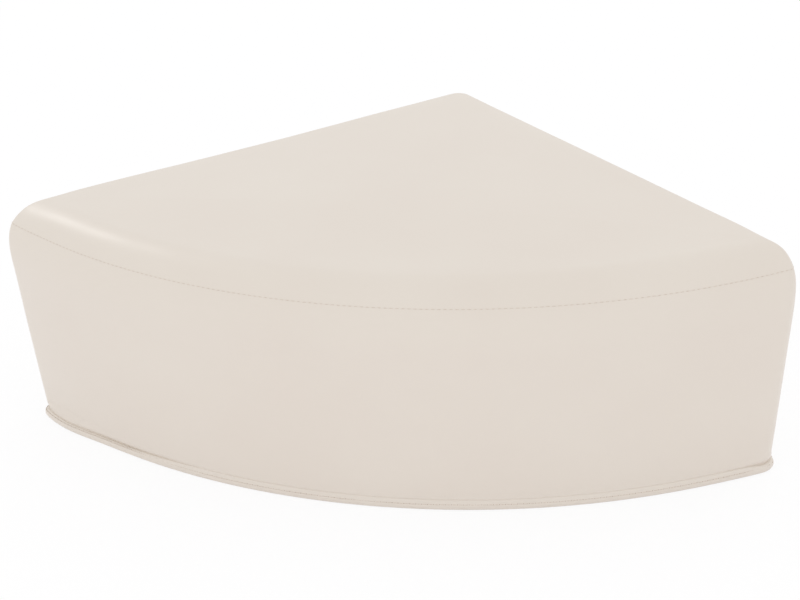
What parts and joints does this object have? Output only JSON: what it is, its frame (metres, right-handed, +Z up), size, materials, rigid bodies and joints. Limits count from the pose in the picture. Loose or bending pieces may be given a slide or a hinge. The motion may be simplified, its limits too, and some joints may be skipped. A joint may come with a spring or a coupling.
{
  "type": "upholstered corner stool",
  "caption": "Quarter-round upholstered foam corner stool with a softly crowned seat, rolled front edge, sewn vinyl cover, hemmed base and a zip in one back wall.",
  "frame": {"origin": "on the floor under the middle of the stool's box", "axes": "+Z up; the bowed front faces -Y and the back corner points to +Y"},
  "size_m": [0.6976, 0.4751, 0.205],
  "materials": {
    "foam": "matt",
    "cover": "satin",
    "base": "matt",
    "zip_tape": "matt",
    "zip_teeth": "satin",
    "zip_metal": "polished"
  },
  "bodies": {
    "stool": {"foam_base_slab": "foam", "foam_seat_slab": "foam", "seat_panel": "cover", "front_panel": "cover", "right_wall_panel": "cover", "left_wall_upper": "cover", "left_wall_lower": "cover", "base_panel": "base", "hem_binding": "cover", "zip_tape_upper": "zip_tape", "zip_tape_lower": "zip_tape", "zip_teeth_upper": "zip_teeth", "zip_teeth_lower": "zip_teeth", "zip_top_stops": "zip_metal", "zip_bottom_stop": "zip_metal"},
    "zip_slider": {"zip_slider": "zip_metal"},
    "zip_pull": {"zip_pull": "zip_metal"}
  },
  "joints": [
    {"name": "zip_slide", "type": "slide", "parent": "stool", "child": "zip_slider", "axis": [-0.7071, -0.7071, 0], "range_m": [0, 0.396]},
    {"name": "pull_hinge", "type": "hinge", "parent": "zip_slider", "child": "zip_pull", "pos_m": [-0.03324, 0.2, 0.05189], "axis": [0.0419, -0.0419, -0.9982], "range_deg": [0, 180]}
  ]
}
